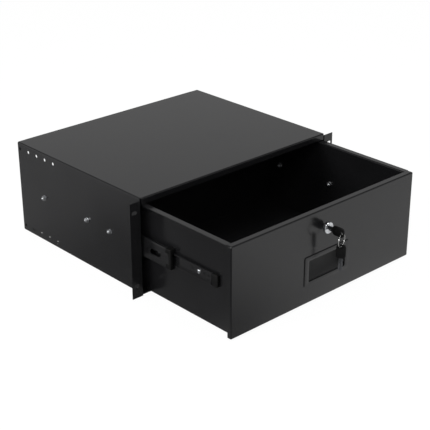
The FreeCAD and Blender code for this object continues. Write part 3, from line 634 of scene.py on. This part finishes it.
def toothed_nut(sizes, height):
    """A chamfered hexagon nut about X with a toothed washer at x = 0."""
    flat = sizes.nut_flats / 2
    corner = sizes.nut_flats / math.sqrt(3)
    seat, top = sizes.washer_height, sizes.washer_height + height
    below, above = seat - MM, top + MM
    hexagon = [on_circle(corner, math.radians(60 * k)) for k in range(6)]
    nut = new_object("nut", mesh_of(prism(hexagon, seat, top), "nut"))
    clear = corner * 1.01
    drum = [(below, 0.0), (below, clear), (top - (corner - flat) * CHAMFER_DEPTH, clear),
            (top, flat * CHAMFER_WIDTH), (top, 0.0)]
    carved(nut, [turned(drum, 48)], "INTERSECT")
    bore = sizes.screw_radius * BORE
    mouth = [(below, 0.0), (below, bore), (top - bore * MOUTH_DEPTH, bore),
             (above, bore * MOUTH_WIDTH + MM), (above, 0.0)]
    carved(nut, [turned(mouth, 24)])
    teeth = []
    for k in range(2 * sizes.washer_teeth):
        radius = sizes.washer_radius * (1.0 if k % 2 else TOOTH_ROOT)
        for shift in (-HALF_TOOTH, HALF_TOOTH):
            teeth.append(on_circle(radius, math.pi * k / sizes.washer_teeth + shift))
    washer = new_object("washer", mesh_of(prism(teeth, 0.0, seat * WASHER_PLATE), "washer"))
    carved(washer, [turned([(-MM, 0.0), (-MM, bore), (seat + MM, bore), (seat + MM, 0.0)], 24)])
    form = bmesh.new()
    form.from_mesh(nut.data)
    form.from_mesh(washer.data)
    drop(washer)
    nut.data = mesh_of(form, "nut")
    return smoothed(nut)


def place_fasteners(owner, kind, template, seat, outward, seed):
    """Puts screws or nuts where the outer rails of both slides meet the case or the drawer. The
    template's seat goes this far from the middle, and its top faces outwards or inwards."""
    nodes = [side + "_" + owner + "_rail_" + kind for side in SIDES]
    level = middle(nodes[1]).z
    form = bmesh.new()
    half_turn = form.verts.layers.float.new("half_turn")
    for side in SIDES:
        front = low(side + "_" + owner + "_rail").y
        for place in SCREW_PLACES[owner]:
            vertex = form.verts.new((OUTWARD[side] * seat, front + place, level))
            vertex[half_turn] = math.pi if (side == "left") == outward else 0.0
    name = owner + "_slide_" + kind
    mesh = bpy.data.meshes.new(name)
    form.to_mesh(mesh)
    form.free()
    tree = bpy.data.node_groups.get("fastener_row") or fastener_row_tree()
    piece = grown(new_object(name, mesh), tree, "zinc_plated_steel", {"Fastener": template, "Seed": seed})
    drop(template)
    finish_piece(piece, None, owner, "zinc_plate", *nodes)


# Operators

class RACKDRAWER_OT_finishes(bpy.types.Operator):
    """Make the finishes and give them to the nodes that keep their own shape"""
    bl_idname = "rack_drawer.finishes"
    bl_label = "Finishes"

    def execute(self, context):
        for make in FINISHES:
            make(context.scene.rack_drawer_colours)
        nodes = frame["nodes"]
        for finish, names in FINISHED_NODES.items():
            wanted = {*names, *(side + "_" + name for name in names for side in SIDES)}
            for name in sorted(wanted & set(nodes)):
                nodes[name].data.materials.clear()
                nodes[name].data.materials.append(bpy.data.materials[finish])
        return {"FINISHED"}


class RACKDRAWER_OT_slide_screws(bpy.types.Operator):
    """Screws that hold the slides to the case and to the drawer"""
    bl_idname = "rack_drawer.slide_screws"
    bl_label = "Slide screws"

    def execute(self, context):
        sizes = context.scene.rack_drawer_sizes
        seat = high("right_case_rail").x - RAIL_GAUGE
        screw = pan_head_screw(sizes, seat - low("right_case_rail_screws").x,
                               high("right_case_rail_screws").x - seat)
        place_fasteners("case", "screws", screw, seat, False, 11)
        seat = low("right_drawer_rail").x + RAIL_GAUGE
        screw = pan_head_screw(sizes, high("right_drawer_rail_screws").x - seat,
                               seat - low("right_drawer_rail_screws").x)
        place_fasteners("drawer", "screws", screw, seat, True, 23)
        return {"FINISHED"}


class RACKDRAWER_OT_slide_nuts(bpy.types.Operator):
    """Nuts with toothed washers on the slide screws"""
    bl_idname = "rack_drawer.slide_nuts"
    bl_label = "Slide nuts"

    def execute(self, context):
        sizes = context.scene.rack_drawer_sizes
        for owner, outward, seed in (("case", True, 31), ("drawer", False, 43)):
            near, far = low("right_" + owner + "_rail_nuts").x, high("right_" + owner + "_rail_nuts").x
            nut = toothed_nut(sizes, far - near - sizes.washer_height)
            place_fasteners(owner, "nuts", nut, near if outward else far, outward, seed)
        return {"FINISHED"}


# The bezel's outline from its seat over its stepped face, as shares of its height and radius
BEZEL = ((0.0, 1.0), (0.5, 1.0), (0.74, 0.985), (0.9, 0.95), (0.98, 0.9), (1.0, 0.84), (1.0, 0.78),
         (0.95, 0.755), (0.84, 0.735), (0.8, 0.71), (0.8, 0.645), (0.85, 0.62), (0.92, 0.605),
         (0.92, 0.575))
BEZEL_MOUTH = 0.86

# The barrel's thread: its pitch, its root as a share of the radius, and the plain neck behind the bezel
BARREL_PITCH = 1.0 * MM
BARREL_ROOT = 0.94
THREAD_END, NECK = -2.5 * MM, -2.0 * MM


class RACKDRAWER_OT_lock(bpy.types.Operator):
    """Cam lock: stepped bright ring, threaded barrel and the plug with its keyway"""
    bl_idname = "rack_drawer.lock"
    bl_label = "Cam lock"

    def execute(self, context):
        sizes = context.scene.rack_drawer_sizes
        face = low("lock_barrel").y + sizes.bezel_height
        depth = high("lock_barrel").y - face
        barrel, bore = sizes.barrel_radius, sizes.plug_radius
        root = barrel * BARREL_ROOT
        profile = [(sizes.bezel_height * up, sizes.bezel_radius * out) for up, out in BEZEL]
        profile += [(sizes.bezel_height * BEZEL_MOUTH, bore), (-depth, bore), (-depth, root)]
        x = -depth + BARREL_PITCH / 2
        while x < THREAD_END:
            profile += [(x, barrel), (x + BARREL_PITCH / 2, root)]
            x += BARREL_PITCH
        profile += [(NECK, barrel), (0.0, barrel)]
        body = new_object("lock_body", mesh_of(turned(profile, 64, closed=True), "lock_body"))
        centre = middle("lock_barrel")
        body.data.transform(Matrix.Translation((centre.x, face, centre.z))
                            @ Matrix.Rotation(math.radians(-90), 4, "Z"))
        smoothed(body, 40.0)
        finish_piece(body, "chrome_plated_brass", "drawer", "chrome", "lock_barrel")
        plug = eased_copy("lock_plug", "lock_core", sizes.eased_edge, 3)
        finish_piece(plug, "chrome_plated_brass", "lock_core", "chrome", "lock_plug")
        return {"FINISHED"}


# A key: how its edges are eased, its eye's distance from the end of its head, the sunk panel's
# distances from the eye and from the head's sides and end, and its round corners
HEAD_EASE, BLADE_EASE = 0.5 * MM, 0.12 * MM
EYE_FROM_END = 4.6 * MM
PANEL_FROM_EYE, PANEL_FROM_SIDE, PANEL_FROM_END = 4.6 * MM, 2.6 * MM, 2.0 * MM
PANEL_CORNER = 2.6 * MM

# The blade's groove: its start in front of the head, and its edges above the key's axis
GROOVE_START = 1.5 * MM
GROOVE_LOW, GROOVE_HIGH = 0.3 * MM, 1.9 * MM

# The spare key hangs turned this many degrees about the upright
SPARE_KEY_TURN = 35.0


class RACKDRAWER_OT_keys(bpy.types.Operator):
    """Two keys: moulded heads with a sunk panel, and blades with a milled groove"""
    bl_idname = "rack_drawer.keys"
    bl_label = "Keys"

    def execute(self, context):
        sizes = context.scene.rack_drawer_sizes
        head_high, blade_low, blade_high = high("key_head"), low("key_blade"), high("key_blade")
        axis_z = middle("key_head").z
        eye = low("key_head").y + EYE_FROM_END
        panel_half = head_high.z - axis_z - PANEL_FROM_SIDE
        panel = rounded_outline(eye + PANEL_FROM_EYE, head_high.y - PANEL_FROM_END, axis_z - panel_half,
                                axis_z + panel_half, PANEL_CORNER)
        head = eased_copy("key_head", "key_grip", HEAD_EASE, 3)
        carved(head, [prism(panel, head_high.x - sizes.key_panel_depth, head_high.x + MM),
                      prism(panel, -head_high.x - MM, -head_high.x + sizes.key_panel_depth)])
        smoothed(head)
        start, end = head_high.y + GROOVE_START, blade_high.y + MM
        groove = [(start, axis_z + GROOVE_LOW), (end, axis_z + GROOVE_LOW),
                  (end, axis_z + GROOVE_HIGH), (start, axis_z + GROOVE_HIGH)]
        blade = eased_copy("key_blade", "key_shaft", BLADE_EASE, 2)
        carved(blade, [prism(groove, blade_high.x - sizes.key_groove_depth, blade_high.x + MM),
                       prism(groove, blade_low.x - MM, blade_low.x + sizes.key_groove_depth)])
        smoothed(blade)
        spare_eye = high("spare_key_head").z - EYE_FROM_END
        hang = (Matrix.Translation((0.0, eye, spare_eye))
                @ Matrix.Rotation(math.radians(SPARE_KEY_TURN), 4, "Z")
                @ Matrix.Rotation(math.radians(-90), 4, "X") @ Matrix.Translation((0.0, -eye, -axis_z)))
        for piece, name, finish, slot, node in (
                (head, "spare_key_grip", "moulded_black_plastic", "black_plastic", "key_head"),
                # The blades take the nickel painted darker, as painted shade
                (blade, "spare_key_shaft", "dark_nickel_plated_brass", "nickel", "key_blade")):
            spare = new_object(name, piece.data.copy())
            spare.data.transform(hang)
            finish_piece(spare, finish, "spare_key", slot, "spare_" + node)
            finish_piece(piece, finish, "key", slot, node)
        return {"FINISHED"}


# The split ring: its turn about the upright, its wire's width as a share of the solid ring's, and the
# room between its turns as a share of the wire
RING_TURN = 15
RING_WIDTH = 0.92
RING_PITCH = 1.04


class RACKDRAWER_OT_split_ring(bpy.types.Operator):
    """Split ring through both keys"""
    bl_idname = "rack_drawer.split_ring"
    bl_label = "Split ring"

    def execute(self, context):
        sizes = context.scene.rack_drawer_sizes
        width = high("key_ring").z - low("key_ring").z - 2 * sizes.ring_radius
        turn = Matrix.Rotation(math.radians(RING_TURN), 4, "Z") @ Matrix.Rotation(math.radians(90), 4, "X")
        offset = turn.to_3x3() @ Vector((0.0, 0.0, -sizes.ring_wire / 2))
        ring = new_object("split_ring", bpy.data.meshes.new("split_ring"))
        grown(ring, split_ring_tree(), "nickel_plated_brass",
              {"Ring Radius": sizes.ring_radius, "Wire Width": width * RING_WIDTH,
               "Wire Thickness": sizes.ring_wire, "Turns": sizes.ring_turns,
               "Rise": sizes.ring_wire * sizes.ring_turns / 2 * RING_PITCH, "Turn": turn.to_euler(),
               "Centre": middle("key_ring") + offset})
        smoothed(ring, 45.0)
        finish_piece(ring, None, "ring", "nickel", "key_ring")
        return {"FINISHED"}


class RACKDRAWER_OT_pull(bpy.types.Operator):
    """Cast recessed pull with soft edges"""
    bl_idname = "rack_drawer.pull"
    bl_label = "Recessed pull"

    def execute(self, context):
        piece = eased_copy("pull", "recessed_pull", context.scene.rack_drawer_sizes.eased_edge, 3)
        finish_piece(piece, "coated_die_cast_zinc", "drawer", "black_cast_pull", "pull")
        return {"FINISHED"}


# How a middle rail's edges are eased, and the round corners of its slot
RAIL_EASE = 0.1 * MM
SLOT_CORNER = 2.0 * MM


class RACKDRAWER_OT_middle_rails(bpy.types.Operator):
    """Middle rails of the slides, with the slot near their front end"""
    bl_idname = "rack_drawer.middle_rails"
    bl_label = "Middle rails"

    def execute(self, context):
        sizes = context.scene.rack_drawer_sizes
        for side in SIDES:
            node = side + "_middle_rail"
            near, far, level = low(node), high(node), middle(node).z
            first = near.y + sizes.slot_from_end
            slot = rounded_outline(first, first + sizes.slot_length, level - sizes.slot_height / 2,
                                   level + sizes.slot_height / 2, SLOT_CORNER)
            piece = eased_copy(node, side + "_middle_member", RAIL_EASE, 1)
            carved(piece, [prism(slot, near.x - MM, far.x + MM)])
            finish_piece(smoothed(piece), "electrocoated_rail_steel", side + "_middle", "black_rail", node)
        return {"FINISHED"}


# A release lever's grip ribs, and the last one's distance from the end of the pad in pitches
RIB_PITCH, RIB_RADIUS, RIB_LENGTH = 1.1 * MM, 0.3 * MM, 3.6 * MM
RIB_FROM_END = 0.2


class RACKDRAWER_OT_slide_plastics(bpy.types.Operator):
    """Moulded end stops and release levers of the slides"""
    bl_idname = "rack_drawer.slide_plastics"
    bl_label = "Stops and levers"

    def execute(self, context):
        sizes = context.scene.rack_drawer_sizes
        ribs_tree = grip_ribs_tree()
        for side in SIDES:
            for node, name, body in (("middle_bumper", "middle_stop", side + "_middle"),
                                     ("drawer_rail_bumper", "rail_nose", "drawer"),
                                     ("release_lever", "lever", side + "_lever")):
                piece = eased_copy(side + "_" + node, side + "_" + name, sizes.eased_edge, 2)
                finish_piece(piece, "moulded_black_plastic", body, "black_plastic", side + "_" + node)
            lever = side + "_release_lever"
            outer_x = low(lever).x if side == "left" else high(lever).x
            first_y = high(lever).y - RIB_PITCH * (sizes.rib_count + RIB_FROM_END)
            ribs = new_object(side + "_lever_ribs", bpy.data.meshes.new(side + "_lever_ribs"))
            grown(ribs, ribs_tree, "moulded_black_plastic",
                  {"Count": sizes.rib_count, "Pitch": RIB_PITCH, "Rib Radius": RIB_RADIUS,
                   "Rib Length": RIB_LENGTH, "First": Vector((outer_x, first_y, middle(lever).z))})
            smoothed(ribs)
            finish_piece(ribs, None, side + "_lever", "black_plastic")
        return {"FINISHED"}


# Studio

WHITE = (1.0, 1.0, 1.0, 1.0)

# The share of plain white that the camera sees in the floor; the rest is lit paper, with the shadow
FLOOR_WHITE = 0.95

# A painted shadow under the part darkens the floor's painted light in glossy surfaces: where it starts,
# how far inside its edge it is darkest and ends, and how dark it is
PAINTED_SHADOW_FRONT = -0.08
PAINTED_SHADOW_DARKEST, PAINTED_SHADOW_END = -0.03, -0.004
PAINTED_SHADOW_LEVEL = 0.02

# Each lamp's place, aim, size and the studio's name for its power
LAMPS = {"right_lamp": ((0.35, -0.6, 1.8), (0.0, -0.1, 0.0), 0.6, "right_light"),
         "front_lamp": ((-0.95, -0.9, 1.35), (-0.1, -0.1, 0.0), 0.5, "front_light"),
         "left_lamp": ((-1.7, 0.35, 0.75), (-0.1, 0.0, 0.0), 0.6, "left_light")}

# The sines of the heights between which the mirrored walls darken, and what is left of them above
WALL_TOP, CEILING_EDGE = 0.44, 0.6
CEILING = 0.1


def area_lamp(name, place, aim, size, power):
    lamp = bpy.data.lights.new(name, "AREA")
    lamp.shape = "SQUARE"
    lamp.size = size
    lamp.energy = power
    holder = new_object(name, lamp)
    holder.location = place
    holder.rotation_euler = (Vector(aim) - Vector(place)).to_track_quat("-Z", "Y").to_euler()


def painted_floor_reflection(tree, studio):
    """The painted light that glossy surfaces mirror from the floor, by its own place: painted bright in
    front on the right, dim beside the drawer, paler further back and far out on the left, and a painted
    shadow under the part."""
    place = add_node(tree, "ShaderNodeTexCoord")
    axes = add_node(tree, "ShaderNodeSeparateXYZ", {}, {"Vector": place.outputs["Object"]})
    dim = studio.painted_reflection_left
    # Each fade: its axis, where it starts and ends in metres, and its values there
    fades = {}
    for name, axis, start, end, first, last in (("across", "X", -0.39, 0.1, 0.0, studio.painted_reflection_right - dim),
                                                ("in_front", "Y", -0.22, -0.1, 1.0, 0.25),
                                                ("behind", "Y", 0.1, 0.5, dim, dim + 0.26),
                                                ("beside", "Y", -0.26, -0.18, 0.0, 1.0),
                                                ("beyond", "X", -0.48, -0.8, 0.0, 0.55)):
        fade = add_node(tree, "ShaderNodeMapRange",
                        {"interpolation_type": "SMOOTHSTEP", "From Min": start, "From Max": end,
                         "To Min": first, "To Max": last}, {"Value": axes.outputs[axis]})
        fades[name] = fade.outputs["Result"]
    farther = add_node(tree, "ShaderNodeMath", {"operation": "MULTIPLY_ADD"},
                       {0: fades["behind"], 1: fades["beside"], 2: fades["beyond"]})
    painted_floor_light = add_node(tree, "ShaderNodeMath", {"operation": "MULTIPLY_ADD"},
                          {0: fades["across"], 1: fades["in_front"], 2: farther.outputs[0]})
    # A painted shadow under the part: inside this box the floor's painted light falls to the shadow's level
    near, far = Vector((low("drawer_front_panel").x, PAINTED_SHADOW_FRONT, 0.0)), high("case_shell")
    offset = add_node(tree, "ShaderNodeVectorMath", {"operation": "SUBTRACT", 1: (near + far) / 2},
                      {0: place.outputs["Object"]})
    apart = add_node(tree, "ShaderNodeVectorMath", {"operation": "ABSOLUTE"}, {0: offset.outputs["Vector"]})
    past = add_node(tree, "ShaderNodeVectorMath", {"operation": "SUBTRACT", 1: (far - near) / 2},
                    {0: apart.outputs["Vector"]})
    past_axes = add_node(tree, "ShaderNodeSeparateXYZ", {}, {"Vector": past.outputs["Vector"]})
    outside = add_node(tree, "ShaderNodeMath", {"operation": "MAXIMUM"},
                       {0: past_axes.outputs["X"], 1: past_axes.outputs["Y"]})
    outside_painted_shadow = add_node(tree, "ShaderNodeMapRange",
                        {"interpolation_type": "SMOOTHSTEP", "From Min": PAINTED_SHADOW_DARKEST,
                         "From Max": PAINTED_SHADOW_END, "To Min": PAINTED_SHADOW_LEVEL, "To Max": 1.0},
                        {"Value": outside.outputs[0]})
    level = add_node(tree, "ShaderNodeMath", {"operation": "MULTIPLY"},
                     {0: painted_floor_light.outputs[0], 1: outside_painted_shadow.outputs["Result"]})
    return level.outputs[0]


def matt_white_paper(colours, studio):
    """Matt studio paper, with fibres drawn 2 mm across: the camera sees it nearly white with a trace
    of the part's shadow, and glossy surfaces mirror painted light on it instead, bright on the right as if
    one lamp from there lit it, with a painted shadow under the part."""
    material = blank_material("matt_white_paper")
    tree = material.node_tree
    fibres = pattern(tree, 2 * MM, 2.0)
    paper = add_node(tree, "ShaderNodeBsdfPrincipled",
                     {"Roughness": 0.9, "Base Color": (*colours.floor, 1.0)},
                     {"Normal": relief(tree, fibres, 20 * MICRON)})
    rays = add_node(tree, "ShaderNodeLightPath")
    # Glossy rays see painted light in place of the lit paper: an emission by place, with a painted shadow
    # under the part
    mirrored = add_node(tree, "ShaderNodeEmission", {"Color": WHITE},
                        {"Strength": painted_floor_reflection(tree, studio)})
    dimmed = add_node(tree, "ShaderNodeMixShader", {},
                      {0: rays.outputs["Is Glossy Ray"], 1: paper.outputs["BSDF"],
                       2: mirrored.outputs["Emission"]})
    direct = add_node(tree, "ShaderNodeMath", {"operation": "ADD", "use_clamp": True},
                      {0: rays.outputs["Is Camera Ray"], 1: rays.outputs["Is Transmission Ray"]})
    share = add_node(tree, "ShaderNodeMath", {"operation": "MULTIPLY", 1: FLOOR_WHITE},
                     {0: direct.outputs[0]})
    white = add_node(tree, "ShaderNodeEmission", {"Color": WHITE, "Strength": 1.0})
    whole = add_node(tree, "ShaderNodeMixShader", {},
                     {0: share.outputs[0], 1: dimmed.outputs["Shader"], 2: white.outputs["Emission"]})
    add_node(tree, "ShaderNodeOutputMaterial", {}, {"Surface": whole.outputs["Shader"]})
    return material


def studio_world(studio):
    """White to the camera and an even light to matt surfaces. Glossy ones mirror a room with pale
    walls under a dark ceiling."""
    world = bpy.data.worlds.new("studio")
    world.use_nodes = True
    tree = world.node_tree
    tree.nodes.clear()
    rays = add_node(tree, "ShaderNodeLightPath")
    direction = add_node(tree, "ShaderNodeTexCoord")
    axes = add_node(tree, "ShaderNodeSeparateXYZ", {}, {"Vector": direction.outputs["Generated"]})
    mirrored = add_node(tree, "ShaderNodeMapRange",
                        {"interpolation_type": "SMOOTHSTEP", "From Min": WALL_TOP, "From Max": CEILING_EDGE,
                         "To Min": studio.sky_mirrored, "To Max": studio.sky_mirrored * CEILING},
                        {"Value": axes.outputs["Z"]})
    soft = add_node(tree, "ShaderNodeMix", {"data_type": "FLOAT", 2: studio.sky},
                    {0: rays.outputs["Is Glossy Ray"], 3: mirrored.outputs["Result"]})
    level = add_node(tree, "ShaderNodeMix", {"data_type": "FLOAT", 3: 1.0},
                     {0: rays.outputs["Is Camera Ray"], 2: soft.outputs[0]})
    glow = add_node(tree, "ShaderNodeBackground", {"Color": WHITE}, {"Strength": level.outputs[0]})
    add_node(tree, "ShaderNodeOutputWorld", {}, {"Surface": glow.outputs["Background"]})
    bpy.context.scene.world = world


def studio_camera(studio):
    """The camera, turned round its target, and rolled about its line of sight."""
    azimuth, elevation, roll = -studio.azimuth, studio.elevation, studio.roll
    back = Vector((math.sin(azimuth) * math.cos(elevation), -math.cos(azimuth) * math.cos(elevation),
                   math.sin(elevation)))
    right = Vector((math.cos(azimuth), math.sin(azimuth), 0.0))
    up = back.cross(right)
    turned_right = right * math.cos(roll) + up * math.sin(roll)
    turned_up = up * math.cos(roll) - right * math.sin(roll)
    camera = bpy.data.cameras.new("camera")
    camera.lens = studio.lens
    camera.sensor_width = 36.0
    camera.clip_start = 0.05
    camera.clip_end = 50.0
    holder = new_object("camera", camera)
    place = Matrix((turned_right, turned_up, back)).transposed().to_4x4()
    place.translation = Vector(studio.target) + back * studio.distance
    holder.matrix_world = place
    bpy.context.scene.camera = holder


class RACKDRAWER_OT_studio(bpy.types.Operator):
    """Plain pale floor with painted light and a painted shadow for glossy surfaces to mirror, soft light
    and the camera at the photograph's place
    """
    bl_idname = "rack_drawer.studio"
    bl_label = "Studio"

    def execute(self, context):
        scene = context.scene
        studio = scene.rack_drawer_studio
        form = bmesh.new()
        bmesh.ops.create_circle(form, cap_ends=True, radius=12.0, segments=64,
                                matrix=Matrix.Translation((0.0, 0.0, cad_low.z)))
        floor = bpy.data.meshes.new("floor")
        form.to_mesh(floor)
        form.free()
        floor.materials.append(matt_white_paper(scene.rack_drawer_colours, studio))
        new_object("floor", floor)
        for name, (place, aim, size, power) in LAMPS.items():
            area_lamp(name, place, aim, size, getattr(studio, power))
        studio_world(studio)
        studio_camera(studio)
        scene.view_settings.view_transform = "Standard"
        return {"FINISHED"}


STEPS = (RACKDRAWER_OT_finishes, RACKDRAWER_OT_slide_screws, RACKDRAWER_OT_slide_nuts, RACKDRAWER_OT_lock,
         RACKDRAWER_OT_keys, RACKDRAWER_OT_split_ring, RACKDRAWER_OT_pull, RACKDRAWER_OT_middle_rails,
         RACKDRAWER_OT_slide_plastics, RACKDRAWER_OT_studio)


class RACKDRAWER_PT_panel(bpy.types.Panel):
    """Sizes, colours and steps of the rack drawer"""
    bl_label = "Rack Drawer"
    bl_idname = "RACKDRAWER_PT_panel"
    bl_space_type = "VIEW_3D"
    bl_region_type = "UI"
    bl_category = "Rack Drawer"

    def draw(self, context):
        layout = self.layout
        for step in STEPS:
            layout.operator(step.bl_idname)
        for group in (context.scene.rack_drawer_sizes, context.scene.rack_drawer_colours,
                      context.scene.rack_drawer_studio):
            box = layout.box()
            for name in group.__annotations__:
                box.prop(group, name)


CLASSES = (RackDrawerSizes, RackDrawerColours, RackDrawerStudio, *STEPS, RACKDRAWER_PT_panel)


def register():
    for each in CLASSES:
        bpy.utils.register_class(each)
    bpy.types.Scene.rack_drawer_sizes = bpy.props.PointerProperty(type=RackDrawerSizes)
    bpy.types.Scene.rack_drawer_colours = bpy.props.PointerProperty(type=RackDrawerColours)
    bpy.types.Scene.rack_drawer_studio = bpy.props.PointerProperty(type=RackDrawerStudio)


def unregister():
    del bpy.types.Scene.rack_drawer_studio
    del bpy.types.Scene.rack_drawer_colours
    del bpy.types.Scene.rack_drawer_sizes
    for each in reversed(CLASSES):
        bpy.utils.unregister_class(each)


def main():
    register()
    for step in STEPS:
        group, name = step.bl_idname.split(".")
        getattr(getattr(bpy.ops, group), name)()


if __name__ == "__main__":
    main()
